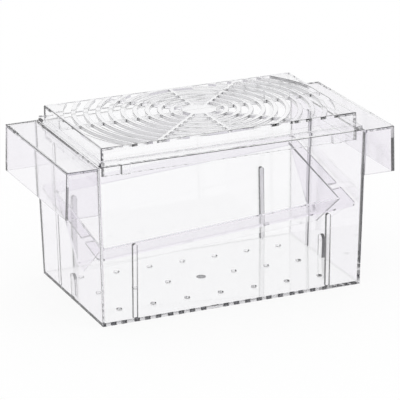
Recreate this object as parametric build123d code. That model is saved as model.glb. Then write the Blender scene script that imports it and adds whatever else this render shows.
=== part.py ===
from build123d import *
import os
from math import atan2, sin

# Fish breeding box: a clear drafted tank with a float moulded on each end, a slotted lid that
# plugs into the rim, and a V-shaped trough that hangs inside and lets the fry fall through.
# Millimetres, +X along the length, -Y the front, +Z up. The origin is the middle of the base.

# ---- tank -------------------------------------------------------------------------------
tank_height = 93.3
base_length = 159.1
base_depth = 93.0
end_draft = 2.0
side_draft = 2.2
wall = 1.5
floor_thickness = 2.0
corner_radius = 0.8
foot_radius = 0.6

drain_hole_diameter = 3.4
drain_columns = 7
drain_rows = 3
drain_column_pitch = 20.8
drain_row_pitch = 27.7
gate_mark_diameter = 5.6
gate_mark_depth = 0.6

post_spacing = 118.6
post_width = 2.7
post_depth = 2.2
post_height = 46.0

end_rib_offset = 20.5
end_rib_width = 3.0
end_rib_depth = 0.7
end_rib_clearance = 0.5
stub_rib_width = 5.6
stub_rib_depth = 1.9
stub_rib_height = 16.0
rib_edge_radius = 0.4

# ---- floats -----------------------------------------------------------------------------
float_reach_top = 17.7
float_reach_bottom = 19.3
float_height = 27.1
float_wall = 1.8
float_roof = 1.8

# ---- lid --------------------------------------------------------------------------------
lid_plug_end_gap = 2.6
lid_plug_side_gap = 3.0
lid_rise = 9.7
lid_skirt_drop = 6.3
lid_wall = 1.8
lid_roof = 1.8
flange_thickness = 2.6
flange_end_gap = 0.4
flange_side_lap = 0.6
flange_corner_radius = 0.8
lid_edge_radius = 0.6

ring_count = 10
ring_pitch = 6.95
ring_slot_width = 4.2
hub_radius = 10.0
spoke_count = 8
spoke_width = 2.2

tab_width = 5.0
tab_position = 64.0
tab_height = 6.0
tab_gap = 0.3

# ---- trough -----------------------------------------------------------------------------
trough_rib_gap = 0.2
trough_side_gap = 1.7
trough_sheet = 1.0
trough_side_flange = 10.9
trough_end_flange = 6.3
trough_corner_radius = 4.0
trough_v_depth = 35.4
trough_slot = 7.5
notch_width = 5.4
notch_radius = 0.8
seat_gap = 0.3

# The trough sits askew: it was dropped in turned end for end, so that its notches miss the
# end ribs, and it has stuck with its back edge and its right end high.
trough_turn = 180.0
trough_pitch = 11.0
trough_roll = -3.85
trough_yaw = -0.96
trough_shift_x = -0.1
trough_shift_y = 0.2

os.makedirs("parts", exist_ok=True)


# What the draft over the tank's whole height adds to the base makes the rim.
rim_length = base_length + 2 * end_draft
rim_depth = base_depth + 2 * side_draft


def section(z, inset=0.0):
    """Length and depth of the tank's outside at height z, drawn in by inset all round."""
    share = z / tank_height
    length = base_length + (rim_length - base_length) * share
    depth = base_depth + (rim_depth - base_depth) * share
    return length - 2 * inset, depth - 2 * inset


def four_corners(left, right, half_depth, z):
    """The corners of a level rectangle at height z, in order round it."""
    return [Vector(left, -half_depth, z), Vector(right, -half_depth, z),
            Vector(right, half_depth, z), Vector(left, half_depth, z)]


def flat_sided(low_corners, high_corners):
    """A solid block between two level rectangles, with flat sides."""
    faces = [Face(Wire.make_polygon(low_corners)), Face(Wire.make_polygon(high_corners))]
    for index in range(4):
        side = [low_corners[index], low_corners[index - 1], high_corners[index - 1], high_corners[index]]
        faces.append(Face(Wire.make_polygon(side)))
    return Solid(Shell(faces))


def drafted_block(low, high, inset=0.0):
    """A solid block between two heights that follows the draft of the tank's walls."""
    outlines = []
    for z in (low, high):
        length, depth = section(z, inset)
        outlines.append(four_corners(-length / 2, length / 2, depth / 2, z))
    return flat_sided(*outlines)


def wall_band(low, high, reach):
    """The skin from the middle of the tank's wall to reach inside its inner face."""
    return drafted_block(low, high, wall / 2) - drafted_block(low, high, wall + reach)


def upright(width, height, position, along):
    """A bar through the whole tank with a round top, whose ends make two ribs."""
    foot = floor_thickness / 2
    shoulder = height - width / 2
    plane = Plane.XZ if along == "Y" else Plane.YZ
    side = Pos(0, (foot + shoulder) / 2) * Rectangle(width, shoulder - foot)
    outline = side + Pos(0, shoulder) * Circle(width / 2)
    return extrude(plane * (Pos(position, 0) * outline), amount=rim_length, both=True)


def ribs(bar, reach):
    """The bar's two ends where they meet the walls, with round edges on the inside."""
    pair = []
    for rib in (bar & wall_band(floor_thickness / 2, tank_height, reach)).solids():
        front = rib.faces().sort_by(lambda face: Vector(face.center().X, face.center().Y).length)[0]
        rim = front.edges().sort_by(Axis.Z)[1:]
        pair.append(fillet(rim, rib_edge_radius))
    return pair


# ---- tank -------------------------------------------------------------------------------
lid_bottom = tank_height - lid_skirt_drop
end_rib_height = lid_bottom - end_rib_clearance


def make_tank():
    shell = drafted_block(0, tank_height)
    shell = fillet(shell.edges().group_by(Axis.Z)[0], foot_radius)
    hollow = drafted_block(floor_thickness, tank_height, wall)
    uprights = hollow.edges().sort_by(Axis.Z)[4:8]
    tank = shell - fillet(uprights, corner_radius)
    # The four posts that carry the trough's flange, two on each long wall.
    for side in (-1, 1):
        bar = upright(post_width, post_height, side * post_spacing / 2, "Y")
        tank += ribs(bar, post_depth)
    # A tall rib on each end wall, behind the middle, and a short one in the middle.
    bar = upright(end_rib_width, end_rib_height, end_rib_offset, "X")
    tank += ribs(bar, end_rib_depth)
    bar = upright(stub_rib_width, stub_rib_height, 0, "X")
    tank += ribs(bar, stub_rib_depth)
    # The drain holes stand in a grid whose middle place holds the moulding gate's mark.
    drill = Cylinder(drain_hole_diameter / 2, 3 * floor_thickness)
    holes = []
    for place in GridLocations(drain_column_pitch, drain_row_pitch, drain_columns, drain_rows):
        if place.position.length > drain_hole_diameter:
            holes.append(place * drill)
    tank -= holes
    tank -= Cylinder(gate_mark_diameter / 2, 2 * gate_mark_depth)
    return tank


# ---- floats -----------------------------------------------------------------------------
float_bottom = tank_height - float_height


def float_outline(z, inset):
    """The float's corners at height z, from the tank's middle out, drawn in by inset."""
    length, depth = section(z)
    share = (z - float_bottom) / float_height
    reach = float_reach_bottom + (float_reach_top - float_reach_bottom) * share
    return four_corners(0, length / 2 + reach - inset, depth / 2 - inset, z)


def make_float(side):
    """An air pocket, closed on top and open below, whose sides carry on the tank's walls."""
    shell = flat_sided(float_outline(float_bottom, 0), float_outline(tank_height, 0))
    roof_low = tank_height - float_roof
    hollow = flat_sided(float_outline(float_bottom, float_wall), float_outline(roof_low, float_wall))
    pocket = shell - hollow - drafted_block(0, tank_height)
    if side < 0:
        pocket = mirror(pocket, about=Plane.YZ)
    return pocket


# ---- lid --------------------------------------------------------------------------------
mouth_length, mouth_depth = section(tank_height, wall)
plug_length = mouth_length - 2 * lid_plug_end_gap
plug_depth = mouth_depth - 2 * lid_plug_side_gap
lid_top = tank_height + lid_rise


def standing_box(length, depth, low, high):
    """A box about the Z axis between two heights."""
    block = Box(length, depth, high - low, align=(Align.CENTER, Align.CENTER, Align.MIN))
    return Pos(0, 0, low) * block


def lid_slots():
    """Concentric slots between the spokes, cut off where the lid's side walls begin."""
    pattern = Sketch()
    for index in range(ring_count):
        inner = hub_radius + index * ring_pitch
        pattern += Circle(inner + ring_slot_width) - Circle(inner)
    pattern = pattern & Rectangle(plug_length - 2 * lid_wall, plug_depth - 2 * lid_wall)
    for index in range(spoke_count // 2):
        pattern -= Rot(0, 0, index * 360 / spoke_count) * Rectangle(2 * rim_length, spoke_width)
    return extrude(Plane.XY.offset(lid_top - 2 * lid_roof) * pattern, 3 * lid_roof)


def lid_tabs():
    """Four tabs on the skirt, which keep the lid central between the long walls."""
    low = tank_height - tab_height
    high = tank_height + flange_thickness / 2
    tip = section(low, wall)[1] / 2 - tab_gap
    root = plug_depth / 2 - lid_wall / 2
    tabs = []
    for x in (-tab_position, tab_position):
        for side in (-1, 1):
            tab = standing_box(tab_width, tip - root, low, high)
            tabs.append(Pos(x, side * (tip + root) / 2, 0) * tab)
    return tabs


def make_lid():
    plug = standing_box(plug_length, plug_depth, lid_bottom, lid_top)
    lid = fillet(plug.edges().filter_by(Axis.Z) + plug.edges().group_by(Axis.Z)[-1], lid_edge_radius)
    flange_length = mouth_length - 2 * flange_end_gap
    flange_depth = mouth_depth + 2 * flange_side_lap
    flange = standing_box(flange_length, flange_depth, tank_height, tank_height + flange_thickness)
    lid += fillet(flange.edges().filter_by(Axis.Z), flange_corner_radius)
    lid += lid_tabs()
    inner_length = plug_length - 2 * lid_wall
    inner_depth = plug_depth - 2 * lid_wall
    lid -= standing_box(inner_length, inner_depth, lid_bottom, lid_top - lid_roof)
    lid -= lid_slots()
    return lid


# ---- trough -----------------------------------------------------------------------------
seat_length, seat_depth = section(post_height, wall)
trough_length = seat_length - 2 * (end_rib_depth + trough_rib_gap)
trough_depth = seat_depth - 2 * trough_side_gap
opening_length = trough_length - 2 * trough_end_flange
opening_depth = trough_depth - 2 * trough_side_flange
notch_depth = trough_end_flange - trough_sheet


def v_block(length, skin):
    """A bar with the V's section, its slopes moved out by skin, cut off flat at the slot."""
    half = opening_depth / 2
    low = trough_v_depth * (1 - trough_slot / opening_depth)
    spread = skin / sin(atan2(trough_v_depth, half))
    top = half + spread
    bottom = trough_slot / 2 + spread
    profile = Polygon((-top, 0), (top, 0), (bottom, -low), (-bottom, -low), align=None)
    return extrude(Plane.YZ * profile, length / 2, both=True)


def make_trough():
    """The trough level, with the middle of its flange's top face at the origin."""
    outline = RectangleRounded(trough_length, trough_depth, trough_corner_radius)
    for side in (-1, 1):
        mouth = Pos(side * trough_length / 2, end_rib_offset) * Rectangle(2 * notch_depth, notch_width)
        outline -= mouth
    lips = outline.vertices().filter_by(
        lambda v: abs(abs(v.X) - trough_length / 2) < 0.01 and abs(v.Y - end_rib_offset) < notch_width
    )
    outline = fillet(lips, notch_radius)
    trough = extrude(outline, -trough_sheet)
    trough += v_block(opening_length + 2 * trough_sheet, trough_sheet)
    trough -= v_block(opening_length, 0)
    return trough


def askew():
    """The trough's place: its front right flange rests on the top of the post below it."""
    tilt = Rot(0, 0, trough_yaw) * Rot(0, trough_roll, 0) * Rot(trough_pitch, 0, 0)
    resting = Pos(post_spacing / 2, -trough_depth / 2, -trough_sheet)
    drop = (tilt * resting).position.Z
    lift = post_height + seat_gap - drop
    return Pos(trough_shift_x, trough_shift_y, lift) * tilt * Rot(0, 0, trough_turn)


nodes = {
    "tank": make_tank(),
    "float_left": make_float(-1),
    "float_right": make_float(1),
    "lid": make_lid(),
    "trough": askew() * make_trough(),
}
for name, shape in nodes.items():
    export_step(shape, f"parts/{name}.step")
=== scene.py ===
import math

import bmesh
import bpy
from bpy.props import FloatProperty, FloatVectorProperty, IntProperty, PointerProperty
from mathutils import Matrix, Vector


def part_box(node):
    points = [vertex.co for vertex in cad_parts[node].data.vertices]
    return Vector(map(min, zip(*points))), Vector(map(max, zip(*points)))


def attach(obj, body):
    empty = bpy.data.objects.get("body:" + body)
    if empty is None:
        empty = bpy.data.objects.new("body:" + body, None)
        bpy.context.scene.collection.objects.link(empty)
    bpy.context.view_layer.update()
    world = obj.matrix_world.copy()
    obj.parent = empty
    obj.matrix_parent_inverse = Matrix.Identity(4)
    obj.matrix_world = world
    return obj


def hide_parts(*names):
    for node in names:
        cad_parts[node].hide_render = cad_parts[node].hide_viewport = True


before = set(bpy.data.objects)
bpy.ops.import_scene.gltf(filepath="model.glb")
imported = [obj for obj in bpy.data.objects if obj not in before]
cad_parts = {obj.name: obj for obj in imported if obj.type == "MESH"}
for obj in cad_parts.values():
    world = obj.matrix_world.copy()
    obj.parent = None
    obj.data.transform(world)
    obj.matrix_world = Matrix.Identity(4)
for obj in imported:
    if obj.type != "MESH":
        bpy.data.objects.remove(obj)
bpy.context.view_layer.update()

bl_info = {
    "name": "Fish Breeding Box",
    "version": (1, 0, 0),
    "blender": (4, 5, 0),
    "location": "3D View > Sidebar > Breeding Box",
    "description": "Builds a clear floating breeding box with its slotted lid and V trough",
    "category": "Object",
}

MM = 0.001
TANK_BODY, LID_BODY, TROUGH_BODY = "tank", "lid", "trough"

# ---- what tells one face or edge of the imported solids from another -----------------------
WELD = 0.002 * MM
FLAT_ANGLE = math.radians(0.3)
SHARP_ANGLE = math.radians(28.0)
CORNER_ANGLE = math.radians(60.0)

# Heights and places, from the middle of the tank's underside.
RIM_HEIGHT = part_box("tank")[1].z
LID_BOTTOM, LID_TOP = (corner.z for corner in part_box("lid"))
FLOAT_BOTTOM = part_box("float_left")[0].z
TANK_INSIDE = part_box("tank")[1] - Vector((1.55 * MM, 1.55 * MM, 0.0))
FLOOR_TOP, GATE_TOP, STUB_TOP = 2.05 * MM, 0.9 * MM, 30.0 * MM
POST_PLACE, POST_REACH, POST_FRONT = 59.3 * MM, 1.6 * MM, 42.0 * MM
RIB_FRONT, RIB_NEAR, RIB_FAR = 75.0 * MM, -4.0 * MM, 23.0 * MM
FLOAT_START = 82.0 * MM
ROOF_DEPTH = 1.9 * MM
SLOPES_REACH = 15.0 * MM

# Lengths of edges and areas of faces.
LONG, MOUTH_LEAST, TANK_LEAST, SHEET_LEAST = 100.0 * MM, 60.0 * MM, 6.0 * MM, 2.0 * MM
RIB_FACE, POST_FACE, RIB_SIDE, HOLE_FACE = (area * MM * MM for area in (200.0, 60.0, 15.0, 5.0))

# Parts of a face's normal along the direction that is asked about.
FLAT_ON, ROUND_WALL, SLOPE_SIDE, UPRIGHT, OBLIQUE = 0.9, 0.85, 0.5, 0.3, 0.1

# ---- finishes and painted shade ----------------------------------------------------------
# How much of the light goes through; the rest is scattered at the face, in its painted shade
# colour.
GATE_CLEAR, EDGE_CLEAR, RIB_SIDE_CLEAR, HOLE_CLEAR = 0.8, 0.75, 0.35, 0.4
SLOT_CLEAR, LONG_SLOT_CLEAR, SHEET_EDGE_CLEAR = 0.4, 0.75, 0.5

# Scale and detail of a noise, and the part of its range over which the roughness changes.
HANDLED_NOISE, HANDLED_RANGE = (45.0, 4.0), (0.45, 0.7)
GRAIN_NOISE, GRAIN_RANGE, GRAIN_SPREAD = (900.0, 2.0), (0.3, 0.7), (0.8, 1.2)
POLISHED_WAVES, ROUGH_WAVES = (30.0, 0.02 * MM), (1500.0, 0.05 * MM)
WAVE_DETAIL, WAVE_STRENGTH = 2.0, 0.1

# ---- studio ------------------------------------------------------------------------------
FLOOR_HALF, FLOOR_DROP = 6.0, 0.15 * MM
BOUNCES, GLOSSY_BOUNCES, LIGHT_CLAMP = 40, 32, 4.0
# Painted shade: the bounces over which the floor and world in the plastic dim, and the width over
# which this sets in later left of the middle.
FADE_BOUNCES, FADE_REACH = 4.0, 20.0 * MM

# The sweep stands this way from the box; the pairs are where a change begins and ends.
SWEEP_WAY = (0.40, 0.917, 0.0)
SWEEP_SIDES, SWEEP_RISE, HORIZON, OVERHEAD = (0.45, 0.75), (0.05, 0.3), (0.02, 0.12), (0.5, 0.9)

# The photograph's camera: azimuth, elevation and roll in degrees, then metres and pixels.
VIEW_ANGLES = (-23.529, 19.123, -0.541)
VIEW_DISTANCE, VIEW_AIM = 1.5229, (0.0, 0.0, 0.05)
PHOTO_WIDTH, FOCAL_PIXELS, SHIFT_PIXELS, SENSOR = 400.0, 2658.27, (0.07, -2.917), 36.0


class ClearFinishAndPaintedShade(bpy.types.PropertyGroup):
    """The clear plastic that every moulding of the box is made of, and the painted shade on some
    of its faces.
    """

    tank_colour: FloatVectorProperty(
        name="Tank colour", description="What one wall of the tank or a float lets through",
        subtype="COLOR", size=3, min=0.0, max=1.0, default=(0.985, 0.985, 0.99))
    lid_colour: FloatVectorProperty(
        name="Lid colour", description="What one wall of the lid lets through",
        subtype="COLOR", size=3, min=0.0, max=1.0, default=(0.985, 0.985, 0.99))
    # Painted shade: a dark tone on the rounded edges, rib sides, hole walls and gate mark, where
    # the clear plastic looks dark.
    painted_shade_colour: FloatVectorProperty(
        name="Shade colour", description="Tone of the sides and edges that turn the light away",
        subtype="COLOR", size=3, min=0.0, max=1.0, default=(0.12, 0.12, 0.14))
    # Painted shade: the grey that the slot walls show to the air, darker at the lid's ends than at
    # its front and back.
    slot_painted_shade_colour: FloatVectorProperty(
        name="Slot colour", description="What a slot wall at the lid's ends lets in from the air",
        subtype="COLOR", size=3, min=0.0, max=1.0, default=(0.9, 0.9, 0.912))
    long_slot_painted_shade_colour: FloatVectorProperty(
        name="Long slot colour", description="The same for the slots at the lid's front and back",
        subtype="COLOR", size=3, min=0.0, max=1.0, default=(0.95, 0.95, 0.955))
    # Painted shade: the end walls and the floats' walls are darker and bluer than the rest of the
    # same plastic.
    end_painted_shade_colour: FloatVectorProperty(
        name="End colour", description="What one end wall or float wall lets through, seen askew",
        subtype="COLOR", size=3, min=0.0, max=1.0, default=(0.94, 0.928, 0.953))
    # Painted shade: the right rib's faces and the far posts' front faces are a dark grey.
    rib_painted_shade_colour: FloatVectorProperty(
        name="Rib colour", description="What the face of the right rib or a far post lets through",
        subtype="COLOR", size=3, min=0.0, max=1.0, default=(0.52, 0.51, 0.54))
    trough_colour: FloatVectorProperty(
        name="Trough colour", description="What the trough's slopes let through",
        subtype="COLOR", size=3, min=0.0, max=1.0, default=(1.0, 1.0, 1.0))
    # Painted shade: the trough's flange and ends are a darker lilac grey than its slopes, though
    # of the same plastic.
    flange_painted_shade_colour: FloatVectorProperty(
        name="Flange colour", description="What the trough's flange and ends let through",
        subtype="COLOR", size=3, min=0.0, max=1.0, default=(0.925, 0.905, 0.94))
    edge_colour: FloatVectorProperty(
        name="Edge colour", description="Tint that builds up where light runs along inside a wall",
        subtype="COLOR", size=3, min=0.0, max=1.0, default=(0.86, 0.85, 0.88))
    density: FloatProperty(
        name="Density", description="How fast the tint builds up, per metre of plastic",
        min=0.0, default=8.0)
    refraction: FloatProperty(
        name="Refraction", description="Refractive index of the plastic",
        min=1.0, max=2.0, default=1.57)
    slope_refraction: FloatProperty(
        name="Slope refraction", description="Refractive index of the trough's slopes",
        min=1.0, max=2.0, default=1.2)
    flange_refraction: FloatProperty(
        name="Flange refraction", description="Refractive index of the trough's flange and ends",
        min=1.0, max=2.0, default=1.06)
    polish: FloatProperty(
        name="Polish", description="Least roughness of a polished face",
        subtype="FACTOR", min=0.0, max=1.0, default=0.02)
    haze: FloatProperty(
        name="Haze", description="Roughness of the patches that have been handled",
        subtype="FACTOR", min=0.0, max=1.0, default=0.05)
    satin: FloatProperty(
        name="Satin", description="Roughness of the shaded edges and of the ribs' sides",
        subtype="FACTOR", min=0.0, max=1.0, default=0.2)
    frost: FloatProperty(
        name="Frost", description="Roughness of the broken gate mark under the floor",
        subtype="FACTOR", min=0.0, max=1.0, default=0.6)


class BoxSizes(bpy.types.PropertyGroup):
    """Small sizes that only the look of the box needs."""

    edge_radius: FloatProperty(
        name="Edge radius", description="Radius of the tank's and the floats' corners and rims",
        subtype="DISTANCE", unit="LENGTH", min=0.0, default=0.35 * MM)
    slot_radius: FloatProperty(
        name="Slot edge radius", description="Radius of the edges of the lid's top and its slots",
        subtype="DISTANCE", unit="LENGTH", min=0.0, default=0.2 * MM)
    sheet_radius: FloatProperty(
        name="Sheet edge radius", description="Radius of the edges of the trough's thin sheet",
        subtype="DISTANCE", unit="LENGTH", min=0.0, default=0.28 * MM)
    mouth_radius: FloatProperty(
        name="Mouth radius", description="Radius of the trough's mouth at its two ends",
        subtype="DISTANCE", unit="LENGTH", min=0.0, default=0.8 * MM)
    edge_segments: IntProperty(
        name="Edge segments", description="Faces across each rounded edge", min=1, default=4)
    slots_length: FloatProperty(
        name="Slots length", description="Length of the field of slots in the lid",
        subtype="DISTANCE", unit="LENGTH", min=0.0, default=151.4 * MM)
    slots_depth: FloatProperty(
        name="Slots depth", description="Depth of the field of slots in the lid",
        subtype="DISTANCE", unit="LENGTH", min=0.0, default=84.9 * MM)
    seat_gap: FloatProperty(
        name="Seat gap", description="Film of air between the lid's flange and the rim",
        subtype="DISTANCE", unit="LENGTH", min=0.0, default=0.06 * MM)
    gate_radius: FloatProperty(
        name="Gate radius", description="Radius of the frosted gate mark under the floor",
        subtype="DISTANCE", unit="LENGTH", min=0.0, default=3.0 * MM)


class StudioSettings(bpy.types.PropertyGroup):
    """Floor and surroundings of the plain studio."""

    floor_colour: FloatVectorProperty(
        name="Floor colour", description="Colour of the floor",
        subtype="COLOR", size=3, min=0.0, max=1.0, default=(1.0, 1.0, 1.0))
    shadow: FloatProperty(
        name="Shadow", description="Share of the floor's tone that the box can shade",
        subtype="FACTOR", min=0.0, max=1.0, default=0.1)
    surround: FloatProperty(
        name="Surround", description="Brightness of the surroundings that light the box",
        min=0.0, default=1.0)
    room: FloatProperty(
        name="Room", description="Brightness of the room that the plastic sees off the sweep",
        min=0.0, default=0.08)
    backdrop: FloatProperty(
        name="Backdrop", description="Brightness of the sweep's upper part, in the plastic",
        min=0.0, default=0.9)
    ceiling: FloatProperty(
        name="Ceiling", description="Brightness that the plastic sees straight overhead",
        min=0.0, default=0.5)
    # Painted shade: the floor and the world seen through the plastic are dimmed for rays that have
    # bounced many times, later left of the middle.
    wall_depth: FloatProperty(
        name="Wall depth", description="Bounces after which light inside a wall begins to fade",
        min=0.0, default=13.5)
    left_delay: FloatProperty(
        name="Left delay", description="Bounces more before the light fades left of the middle",
        min=0.0, default=5.0)
    wall_shade: FloatProperty(
        name="Wall shade", description="What is left of light that has faded inside a wall",
        subtype="FACTOR", min=0.0, max=1.0, default=0.25)


# ---- node helpers ------------------------------------------------------------------------
def blank_tree(owner, output_type):
    """The emptied node tree of a material or a world, and its new output node."""
    owner.use_nodes = True
    tree = owner.node_tree
    tree.nodes.clear()
    return tree, tree.nodes.new(output_type)


def noise(tree, coordinates, scale, detail):
    """A noise texture on the given coordinates."""
    node = tree.nodes.new("ShaderNodeTexNoise")
    node.inputs["Scale"].default_value = scale
    node.inputs["Detail"].default_value = detail
    tree.links.new(coordinates, node.inputs["Vector"])
    return node.outputs["Fac"]


def ramp(tree, value, limits, results):
    """Maps a value between two limits to two results, without going past them."""
    node = tree.nodes.new("ShaderNodeMapRange")
    names = ("From Min", "From Max", "To Min", "To Max")
    for name, number in zip(names, (*limits, *results)):
        node.inputs[name].default_value = number
    tree.links.new(value, node.inputs["Value"])
    return node.outputs["Result"]


def combine(tree, operation, first, second):
    """Joins two values with a Math node; each is a socket or a number."""
    node = tree.nodes.new("ShaderNodeMath")
    node.operation = operation
    for socket, value in zip(node.inputs, (first, second)):
        if isinstance(value, (int, float)):
            socket.default_value = value
        else:
            tree.links.new(value, socket)
    return node.outputs["Value"]


def blend_shaders(tree, share, first, second):
    """Mixes two shaders by a share, which is a socket or a number."""
    node = tree.nodes.new("ShaderNodeMixShader")
    if isinstance(share, float):
        node.inputs["Fac"].default_value = share
    else:
        tree.links.new(share, node.inputs["Fac"])
    tree.links.new(first, node.inputs[1])
    tree.links.new(second, node.inputs[2])
    return node.outputs["Shader"]


def coloured(tree, node_type, colour):
    """A shader node with its colour set."""
    node = tree.nodes.new(node_type)
    node.inputs["Color"].default_value = (*colour, 1.0)
    return node


def seen_in_plastic(tree, path):
    """1 for what is seen through the plastic or in its reflections, else 0."""
    return combine(tree, "MAXIMUM", path.outputs["Is Glossy Ray"],
                   path.outputs["Is Transmission Ray"])


def wall_shade(tree, depth, studio):
    """Painted shade: 1 for most light, and less for light that has run along inside a wall from
    edge to edge.
    """
    limits = (studio.wall_depth, studio.wall_depth + FADE_BOUNCES)
    return ramp(tree, depth, limits, (1.0, studio.wall_shade))


def clear_plastic(name, colour, finish, roughness=None, clear=1.0, outside=None,
                  outside_clear=1.0, refraction=None):
    """Clear plastic, polished and hazed by handling, or evenly rough where a roughness is given.

    An outside colour is what the face lets in from the air; the plain colour and the clear share
    then hold for light that meets the face from inside the plastic. On the slot walls the outside
    colour is painted shade, on the hole walls the inside one.
    """
    material = bpy.data.materials.new(name)
    tree, output = blank_tree(material, "ShaderNodeOutputMaterial")
    shader = tree.nodes.new("ShaderNodeBsdfPrincipled")
    shader.inputs["Base Color"].default_value = (*colour, 1.0)
    shader.inputs["IOR"].default_value = refraction or finish.refraction
    shader.inputs["Transmission Weight"].default_value = clear
    if outside is not None:
        inside = tree.nodes.new("ShaderNodeNewGeometry").outputs["Backfacing"]
        blend = tree.nodes.new("ShaderNodeMix")
        blend.data_type = "RGBA"
        blend.inputs["A"].default_value = (*outside, 1.0)
        blend.inputs["B"].default_value = (*colour, 1.0)
        tree.links.new(inside, blend.inputs["Factor"])
        tree.links.new(blend.outputs["Result"], shader.inputs["Base Color"])
        tree.links.new(ramp(tree, inside, (0.0, 1.0), (outside_clear, clear)),
                       shader.inputs["Transmission Weight"])
    place = tree.nodes.new("ShaderNodeTexCoord").outputs["Object"]
    if roughness is None:
        (scale, depth), limits = POLISHED_WAVES, HANDLED_RANGE
        grain, results = noise(tree, place, *HANDLED_NOISE), (finish.polish, finish.haze)
    else:
        (scale, depth), limits = ROUGH_WAVES, GRAIN_RANGE
        grain = noise(tree, place, *GRAIN_NOISE)
        results = tuple(spread * roughness for spread in GRAIN_SPREAD)
    tree.links.new(ramp(tree, grain, limits, results), shader.inputs["Roughness"])
    bump = tree.nodes.new("ShaderNodeBump")
    bump.inputs["Strength"].default_value = WAVE_STRENGTH
    bump.inputs["Distance"].default_value = depth
    tree.links.new(noise(tree, place, scale, WAVE_DETAIL), bump.inputs["Height"])
    tree.links.new(bump.outputs["Normal"], shader.inputs["Normal"])
    absorb = coloured(tree, "ShaderNodeVolumeAbsorption", finish.edge_colour)
    absorb.inputs["Density"].default_value = finish.density
    tree.links.new(shader.outputs["BSDF"], output.inputs["Surface"])
    tree.links.new(absorb.outputs["Volume"], output.inputs["Volume"])
    return material


# ---- mesh helpers ------------------------------------------------------------------------
def welded(mesh):
    """A bmesh of a mesh with the vertices that lie together made one."""
    bm = bmesh.new()
    bm.from_mesh(mesh)
    bmesh.ops.remove_doubles(bm, verts=bm.verts, dist=WELD)
    return bm


def flattened(bm):
    """Joins the faces that lie in one plane."""
    bmesh.ops.dissolve_limit(bm, angle_limit=FLAT_ANGLE, use_dissolve_boundaries=False,
                             verts=bm.verts, edges=bm.edges)


def object_from(bm, name):
    """Turns a bmesh into a new object of the scene."""
    mesh = bpy.data.meshes.new(name)
    bm.to_mesh(mesh)
    bm.free()
    made = bpy.data.objects.new(name, mesh)
    bpy.context.scene.collection.objects.link(made)
    return made


def rounded(bm, corners, radius, segments, shade):
    """Rounds the given edges and gives their new faces a material slot of their own."""
    made = bmesh.ops.bevel(bm, geom=corners, offset=radius, offset_type="OFFSET",
                           segments=segments, profile=0.5, affect="EDGES",
                           clamp_overlap=False, material=-1)
    for face in made["faces"]:
        face.material_index = shade


def sharp_corners(bm, least_length):
    """The outward edges that are sharp and longer than a given length."""
    return [edge for edge in bm.edges
            if edge.is_manifold and edge.is_convex and edge.calc_face_angle() > CORNER_ANGLE
            and edge.calc_length() > least_length]


def in_order(bm):
    """Puts the faces in the order of their vertices, which is the same each run."""
    count = len(bm.verts)

    def place(face):
        first, second, third = sorted(vertex.index for vertex in face.verts)[:3]
        return (first * count + second) * count + third

    bm.verts.index_update()
    bm.faces.sort(key=place)


def is_corner(normal):
    """Whether a normal is level and points between the box's long and short sides."""
    return abs(normal.z) < UPRIGHT and min(abs(normal.x), abs(normal.y)) > OBLIQUE


def piece_from(bm, name, body, materials):
    """Turns a bmesh into a piece that rides on a body."""
    in_order(bm)
    piece = object_from(bm, name)
    mesh = piece.data
    for attribute in list(mesh.attributes):
        if attribute.name == "custom_normal":
            mesh.attributes.remove(attribute)
    for material in materials:
        mesh.materials.append(material)
    mesh.shade_smooth()
    mesh.set_sharp_from_angle(angle=SHARP_ANGLE)
    # Broad flat faces keep their own normals, so that they don't bend what is seen through them.
    even = piece.modifiers.new("even_normals", "WEIGHTED_NORMAL")
    even.mode = "FACE_AREA"
    even.weight = 100
    even.keep_sharp = True
    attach(piece, body)
    return piece


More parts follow.
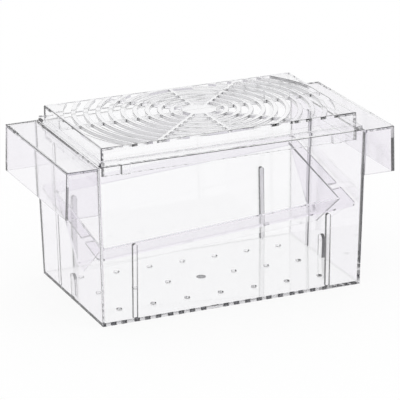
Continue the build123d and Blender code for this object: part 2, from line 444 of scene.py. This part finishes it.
# ---- operators ---------------------------------------------------------------------------
class MOULDING_OT_tank(bpy.types.Operator):
    """Make the tank with its two floats as the one moulding that it is"""

    bl_idname = "breeding_box.tank"
    bl_label = "Tank and Floats"

    # Material slots; every one but PLAIN carries painted shade, the gate's along with its frost.
    PLAIN, GATE, EDGE, RIB_SIDE, END, RIB_FACE, HOLE = range(7)

    def execute(self, context):
        finish = context.scene.clear_finish
        sizes = context.scene.box_sizes
        bm = self.joined(context)
        corners = [edge for edge in sharp_corners(bm, TANK_LEAST) if self.shows(edge)]
        rounded(bm, corners, sizes.edge_radius, sizes.edge_segments, self.EDGE)
        for face in bm.faces:
            face.material_index = self.finish_and_painted_shade_of(face, sizes.gate_radius)
        shade, satin = finish.painted_shade_colour, finish.satin
        # Past the plain plastic, each material is painted shade: dark edges, rib sides and hole
        # walls, a dark frosted gate mark, and darker end walls and rib faces.
        piece = piece_from(bm, "tank_and_floats", TANK_BODY, (
            clear_plastic("tank_clear_plastic", finish.tank_colour, finish),
            clear_plastic("gate_mark_frost_and_painted_shade", shade, finish, finish.frost, GATE_CLEAR),
            clear_plastic("tank_edge_painted_shade", shade, finish, satin, EDGE_CLEAR),
            clear_plastic("rib_side_painted_shade", shade, finish, satin, RIB_SIDE_CLEAR),
            clear_plastic("tank_end_painted_shade", finish.end_painted_shade_colour, finish),
            clear_plastic("rib_face_painted_shade", finish.rib_painted_shade_colour, finish),
            clear_plastic("hole_wall_painted_shade", shade, finish, None, HOLE_CLEAR,
                          finish.tank_colour)))
        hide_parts("tank", "float_left", "float_right")
        return {"FINISHED"}

    def joined(self, context):
        """The tank and the two floats as one bmesh."""
        parts = []
        for node in ("tank", "float_left", "float_right"):
            bm = welded(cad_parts[node].data)
            flattened(bm)
            parts.append(object_from(bm, node + "_part"))
        for part in parts[1:]:
            join = parts[0].modifiers.new("join", "BOOLEAN")
            join.operation = "UNION"
            join.solver = "EXACT"
            join.object = part
        context.view_layer.update()
        graph = context.evaluated_depsgraph_get()
        mesh = bpy.data.meshes.new_from_object(parts[0].evaluated_get(graph))
        for part in parts:
            bpy.data.objects.remove(part)
        bm = welded(mesh)
        flattened(bm)
        return bm

    def shows(self, edge):
        """Leaves out the long rims and the floats' lower edges, which stay crisp and light,
        without painted shade.
        """
        ends = [vertex.co for vertex in edge.verts]
        low, high = sorted(end.z for end in ends)
        long_rim = low > RIM_HEIGHT - WELD and abs(ends[0].x - ends[1].x) > LONG
        return not long_rim and high > FLOAT_BOTTOM + MM or high < FLOAT_BOTTOM - MM

    def finish_and_painted_shade_of(self, face, gate_radius):
        """The material slot of a face, plain or painted shade; a later rule goes before an earlier
        one.
        """
        slot, normal, area = face.material_index, face.normal, face.calc_area()
        middle = face.calc_center_median()
        out = math.hypot(middle.x, middle.y)
        # Upright corners are rounded but get no painted shade.
        if slot == self.EDGE and is_corner(normal):
            slot = self.PLAIN
        # The gate mark is frosted and darkened with painted shade.
        if out < gate_radius and middle.z < GATE_TOP:
            slot = self.GATE
        # End walls and the floats' walls get a darker, bluer painted shade.
        on_float = abs(middle.x) > FLOAT_START and middle.z > FLOAT_BOTTOM - MM
        end_on = abs(normal.x) > FLAT_ON or on_float and abs(normal.y) > FLAT_ON
        if slot == self.PLAIN and end_on and area > RIB_FACE:
            slot = self.END
        # Post and rib sides get dark painted shade.
        if self.is_rib_side(middle, normal, area):
            slot = self.RIB_SIDE
        # The right rib's faces and the far posts' front faces get a grey painted shade.
        right_rib = (RIB_FRONT < middle.x < TANK_INSIDE.x and middle.z > STUB_TOP
                     and abs(normal.x) > FLAT_ON)
        far_post = POST_FRONT < middle.y < TANK_INSIDE.y and normal.y < -FLAT_ON
        if (right_rib or far_post) and POST_FACE < area < 2.0 * RIB_FACE:
            slot = self.RIB_FACE
        # Hole walls get painted shade where they are seen from inside the plastic.
        if (out > gate_radius and middle.z < FLOOR_TOP and abs(normal.z) < UPRIGHT
                and area < HOLE_FACE):
            slot = self.HOLE
        return slot

    def is_rib_side(self, middle, normal, area):
        """Whether a face is a side or edge of a post or rib, to be given painted shade; the left
        ribs' broad sides aren't.
        """
        if not FLOOR_TOP < middle.z < LID_BOTTOM or area > RIB_FACE:
            return False
        on_long_wall = (abs(abs(middle.x) - POST_PLACE) < POST_REACH
                        and POST_FRONT < abs(middle.y) < TANK_INSIDE.y)
        on_end_wall = (RIB_FRONT < abs(middle.x) < TANK_INSIDE.x
                       and RIB_NEAR < middle.y < RIB_FAR
                       and not (middle.x < 0.0 and area > RIB_SIDE))
        return (on_long_wall and abs(normal.y) < FLAT_ON
                or on_end_wall and abs(normal.x) < FLAT_ON)


class MOULDING_OT_lid(bpy.types.Operator):
    """Make the slotted lid that plugs into the rim"""

    bl_idname = "breeding_box.lid"
    bl_label = "Slotted Lid"

    # Material slots; SLOT, EDGE and LONG_SLOT carry painted shade.
    PLAIN, SLOT, EDGE, LONG_SLOT = range(4)

    def execute(self, context):
        finish = context.scene.clear_finish
        sizes = context.scene.box_sizes
        bm = welded(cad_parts["lid"].data)
        for vertex in bm.verts:
            if abs(vertex.co.z - RIM_HEIGHT) < WELD:
                vertex.co.z += sizes.seat_gap
        flattened(bm)
        # The slot walls get painted shade, grey as seen from the air.
        for face in bm.faces:
            if self.among_slots(face, sizes):
                face.material_index = self.slot_painted_shade_of(face)
        tops = [edge for edge in sharp_corners(bm, 0.0)
                if all(abs(vertex.co.z - LID_TOP) < WELD for vertex in edge.verts)]
        rounded(bm, tops, sizes.slot_radius, sizes.edge_segments, self.EDGE)
        # Rounded edges in the slot field go back to plain plastic; the rest, and the plug's
        # upright corners, get painted shade.
        for face in bm.faces:
            slots_edge = self.among_slots(face, sizes) and face.material_index == self.EDGE
            if slots_edge:
                face.material_index = self.PLAIN
            elif is_corner(face.normal) and not self.among_slots(face, sizes):
                face.material_index = self.EDGE
        colour = finish.lid_colour
        # Past the plain plastic, the lid's materials are painted shade: grey slot walls and dark
        # edges and corners.
        piece = piece_from(bm, "slotted_lid", LID_BODY, (
            clear_plastic("lid_clear_plastic", colour, finish),
            clear_plastic("slot_wall_painted_shade", colour, finish, None, 1.0,
                          finish.slot_painted_shade_colour, SLOT_CLEAR),
            clear_plastic("lid_edge_painted_shade", finish.painted_shade_colour, finish, finish.satin, EDGE_CLEAR),
            clear_plastic("long_slot_wall_painted_shade", colour, finish, None, 1.0,
                          finish.long_slot_painted_shade_colour, LONG_SLOT_CLEAR)))
        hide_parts("lid")
        return {"FINISHED"}

    def among_slots(self, face, sizes):
        """Whether a face lies in the field of slots, seen from above."""
        middle = face.calc_center_median()
        return abs(middle.x) < sizes.slots_length / 2 and abs(middle.y) < sizes.slots_depth / 2

    def slot_painted_shade_of(self, face):
        """The material slot of a face in the field of slots, before its edges are rounded; the
        slot walls get painted shade.
        """
        middle, normal = face.calc_center_median(), face.normal
        if min(vertex.co.z for vertex in face.verts) <= LID_TOP - ROOF_DEPTH:
            return self.PLAIN
        outwards = Vector((middle.x, middle.y, 0.0)).normalized()
        lengthwise = abs(middle.y) > abs(middle.x)
        if abs(normal.dot(outwards)) > ROUND_WALL:
            return self.LONG_SLOT if lengthwise else self.SLOT
        return self.SLOT if lengthwise and abs(normal.z) < UPRIGHT else self.PLAIN


class MOULDING_OT_trough(bpy.types.Operator):
    """Make the V trough that hangs in the tank"""

    bl_idname = "breeding_box.trough"
    bl_label = "V Trough"

    # Material slots; EDGE and FLANGE carry painted shade.
    PLAIN, EDGE, FLANGE = range(3)

    def execute(self, context):
        finish = context.scene.clear_finish
        sizes = context.scene.box_sizes
        bm = welded(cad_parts["trough"].data)
        flattened(bm)
        mouth = [edge for edge in self.end_corners(bm) if edge.calc_length() > MOUTH_LEAST]
        rounded(bm, mouth, sizes.mouth_radius, sizes.edge_segments, self.EDGE)
        rounded(bm, self.end_corners(bm), sizes.sheet_radius, sizes.edge_segments, self.EDGE)
        # Small edge-on faces get dark painted shade like the rounded ends, and the flange and ends
        # a paler painted shade; the slopes stay plain.
        for face in bm.faces:
            normal, area = face.normal, face.calc_area()
            slope = abs(normal.y) > SLOPE_SIDE and area > RIB_FACE
            if face.material_index == self.PLAIN and not slope:
                edge_on = abs(normal.y) < FLAT_ON and abs(normal.z) < UPRIGHT
                face.material_index = self.EDGE if edge_on and area < POST_FACE else self.FLANGE
        piece = piece_from(bm, "v_trough", TROUGH_BODY, (
            clear_plastic("trough_clear_plastic", finish.trough_colour, finish,
                          refraction=finish.slope_refraction),
            clear_plastic("trough_edge_painted_shade", finish.painted_shade_colour, finish, finish.satin,
                          SHEET_EDGE_CLEAR),
            clear_plastic("trough_flange_painted_shade", finish.flange_painted_shade_colour, finish,
                          refraction=finish.flange_refraction)))
        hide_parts("trough")
        return {"FINISHED"}

    def end_corners(self, bm):
        """The sharp edges of the flange and the mouth at the two ends that aren't rounded yet."""
        return [edge for edge in sharp_corners(bm, SHEET_LEAST)
                if edge.calc_length() < LONG
                and min(abs(vertex.co.y) for vertex in edge.verts) > SLOPES_REACH
                and not any(face.material_index for face in edge.link_faces)]


class STUDIO_OT_stage(bpy.types.Operator):
    """Set up the floor, the surroundings and the camera"""

    bl_idname = "breeding_box.stage"
    bl_label = "Stage"

    def execute(self, context):
        scene = context.scene
        studio = scene.studio_settings
        scene.view_settings.view_transform = "Standard"
        scene.cycles.max_bounces = BOUNCES
        scene.cycles.transmission_bounces = BOUNCES
        scene.cycles.glossy_bounces = GLOSSY_BOUNCES
        scene.cycles.sample_clamp_indirect = LIGHT_CLAMP
        self.floor(studio)
        self.surroundings(scene, studio)
        self.camera(scene)
        return {"FINISHED"}

    def floor(self, studio):
        """A wide pale floor just under the box."""
        bm = bmesh.new()
        bmesh.ops.create_grid(bm, x_segments=1, y_segments=1, size=FLOOR_HALF)
        bmesh.ops.translate(bm, verts=bm.verts, vec=(0.0, 0.0, -FLOOR_DROP))
        floor = object_from(bm, "studio_floor")
        material = bpy.data.materials.new("pale_floor")
        tree, output = blank_tree(material, "ShaderNodeOutputMaterial")
        matte = coloured(tree, "ShaderNodeBsdfDiffuse", studio.floor_colour)
        glow = coloured(tree, "ShaderNodeEmission", studio.floor_colour)
        # Where it is seen, most of the floor's white is its own, so its shadows stay light.
        bare = blend_shaders(tree, studio.shadow, glow.outputs["Emission"], matte.outputs["BSDF"])
        path = tree.nodes.new("ShaderNodeLightPath")
        # Through the plastic the floor is plain white, with painted shade: it is dimmed for rays
        # that have bounced many times, sooner on the right of the box than on the left, standing
        # in for light that has run along inside a wall.
        inside = coloured(tree, "ShaderNodeEmission", studio.floor_colour)
        place = tree.nodes.new("ShaderNodeSeparateXYZ")
        tree.links.new(tree.nodes.new("ShaderNodeTexCoord").outputs["Object"],
                       place.inputs["Vector"])
        later = ramp(tree, place.outputs["X"], (-FADE_REACH, FADE_REACH),
                     (studio.left_delay, 0.0))
        depth = combine(tree, "SUBTRACT", path.outputs["Ray Depth"], later)
        tree.links.new(wall_shade(tree, depth, studio), inside.inputs["Strength"])
        seen = blend_shaders(tree, path.outputs["Is Camera Ray"], matte.outputs["BSDF"], bare)
        shown = blend_shaders(tree, seen_in_plastic(tree, path), seen, inside.outputs["Emission"])
        tree.links.new(shown, output.inputs["Surface"])
        floor.data.materials.append(material)

    def surroundings(self, scene, studio):
        """White all round, darker overhead in what the plastic reflects and refracts, and dimmed
        there as painted shade for rays that have bounced many times.
        """
        world = bpy.data.worlds.new("soft_studio")
        scene.world = world
        tree, output = blank_tree(world, "ShaderNodeOutputWorld")
        light, seen, plain = (coloured(tree, "ShaderNodeBackground", (1.0, 1.0, 1.0))
                              for _ in range(3))
        light.inputs["Strength"].default_value = studio.surround
        direction = tree.nodes.new("ShaderNodeTexCoord").outputs["Generated"]
        split = tree.nodes.new("ShaderNodeSeparateXYZ")
        tree.links.new(direction, split.inputs["Vector"])
        height = split.outputs["Z"]
        ahead = tree.nodes.new("ShaderNodeVectorMath")
        ahead.operation = "DOT_PRODUCT"
        ahead.inputs[1].default_value = SWEEP_WAY
        tree.links.new(direction, ahead.inputs[0])
        # A pale sweep stands behind the box and darkens upwards; the rest of the room is dim.
        behind = ramp(tree, ahead.outputs["Value"], SWEEP_SIDES, (studio.room, 1.0))
        upwards = ramp(tree, height, SWEEP_RISE, (1.0, studio.backdrop))
        sweep = combine(tree, "MULTIPLY", behind, upwards)
        above = ramp(tree, height, HORIZON, (0.0, 1.0))
        loss = combine(tree, "MULTIPLY", above, combine(tree, "SUBTRACT", 1.0, sweep))
        level = combine(tree, "SUBTRACT", 1.0, loss)
        top = ramp(tree, height, OVERHEAD, (0.0, 1.0))
        change = combine(tree, "MULTIPLY", top, combine(tree, "SUBTRACT", studio.ceiling, level))
        level = combine(tree, "ADD", level, change)
        path = tree.nodes.new("ShaderNodeLightPath")
        # Painted shade: rays that have bounced many times inside a wall see a dimmer world.
        level = combine(tree, "MULTIPLY", level,
                        wall_shade(tree, path.outputs["Ray Depth"], studio))
        tree.links.new(level, seen.inputs["Strength"])
        mix = blend_shaders(tree, seen_in_plastic(tree, path), light.outputs["Background"],
                            seen.outputs["Background"])
        shown = blend_shaders(tree, path.outputs["Is Camera Ray"], mix,
                              plain.outputs["Background"])
        tree.links.new(shown, output.inputs["Surface"])

    def camera(self, scene):
        """The photograph's viewpoint, worked out from the corners of the box."""
        azimuth, elevation, roll = (math.radians(angle) for angle in VIEW_ANGLES)
        back = Vector((math.sin(azimuth) * math.cos(elevation),
                       -math.cos(azimuth) * math.cos(elevation), math.sin(elevation)))
        right = Vector((math.cos(azimuth), math.sin(azimuth), 0.0))
        up = back.cross(right)
        side = right * math.cos(roll) + up * math.sin(roll)
        top = up * math.cos(roll) - right * math.sin(roll)
        data = bpy.data.cameras.new("camera")
        data.lens = FOCAL_PIXELS / PHOTO_WIDTH * SENSOR
        data.sensor_width = SENSOR
        data.shift_x, data.shift_y = (pixels / PHOTO_WIDTH for pixels in SHIFT_PIXELS)
        camera = bpy.data.objects.new("camera", data)
        camera.matrix_world = Matrix.LocRotScale(
            Vector(VIEW_AIM) + back * VIEW_DISTANCE,
            Matrix((side, top, back)).transposed().to_quaternion(), None)
        scene.collection.objects.link(camera)
        scene.camera = camera


class BREEDING_PT_panel(bpy.types.Panel):
    """Lists the pieces of the breeding box in the sidebar"""

    bl_idname = "BREEDING_PT_panel"
    bl_label = "Breeding Box"
    bl_space_type = "VIEW_3D"
    bl_region_type = "UI"
    bl_category = "Breeding Box"

    def draw(self, context):
        for operator in OPERATORS:
            self.layout.operator(operator.bl_idname)


GROUPS = {
    "clear_finish": ClearFinishAndPaintedShade,
    "box_sizes": BoxSizes,
    "studio_settings": StudioSettings,
}
OPERATORS = (MOULDING_OT_tank, MOULDING_OT_lid, MOULDING_OT_trough, STUDIO_OT_stage)
CLASSES = (*GROUPS.values(), *OPERATORS, BREEDING_PT_panel)


def register():
    for made in CLASSES:
        bpy.utils.register_class(made)
    for name, group in GROUPS.items():
        setattr(bpy.types.Scene, name, PointerProperty(type=group))


def unregister():
    for name in GROUPS:
        delattr(bpy.types.Scene, name)
    for made in reversed(CLASSES):
        bpy.utils.unregister_class(made)


def main():
    """Builds the whole scene."""
    register()
    bpy.ops.breeding_box.tank()
    bpy.ops.breeding_box.lid()
    bpy.ops.breeding_box.trough()
    bpy.ops.breeding_box.stage()


if __name__ == "__main__":
    main()
